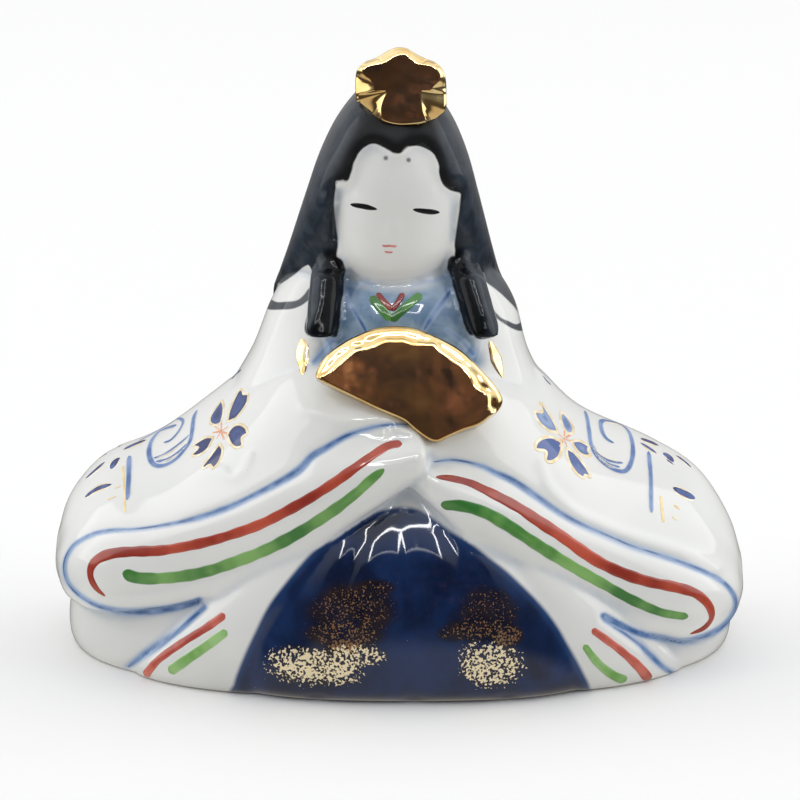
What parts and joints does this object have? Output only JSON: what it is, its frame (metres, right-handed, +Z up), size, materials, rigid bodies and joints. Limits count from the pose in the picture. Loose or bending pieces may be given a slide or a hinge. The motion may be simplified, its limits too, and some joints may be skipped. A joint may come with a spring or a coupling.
{
  "type": "porcelain hina doll",
  "caption": "Small glazed porcelain doll of a seated court lady in wide sleeves, holding a fan, with a hollow body open at the foot.",
  "frame": {"origin": "the middle of the doll's box at the level of its foot, on the surface it stands on", "axes": "+Z up, -Y the way the doll faces, +X towards the doll's left hand"},
  "size_m": [0.0908, 0.0543, 0.0799],
  "materials": {
    "white_porcelain": "clear glaze over white porcelain, high gloss",
    "face_porcelain": "clear glaze over white porcelain, gloss",
    "pale_blue_wash": "thin cobalt wash under clear glaze, high gloss",
    "cobalt_blue": "deep cobalt under clear glaze, high gloss",
    "black_enamel": "black pigment under clear glaze, high gloss",
    "gold_lustre": "bright gold lustre fired over the glaze, mirror gloss"
  },
  "bodies": {
    "root": {"robe_shell": "white_porcelain", "head": "face_porcelain", "inner_collar": "pale_blue_wash", "hair": "black_enamel", "right_side_lock": "black_enamel", "left_side_lock": "black_enamel", "right_sleeve": "white_porcelain", "left_sleeve": "white_porcelain", "hakama_front": "cobalt_blue", "right_hem": "white_porcelain", "left_hem": "white_porcelain", "fan": "gold_lustre", "crown": "gold_lustre"}
  },
  "joints": []
}
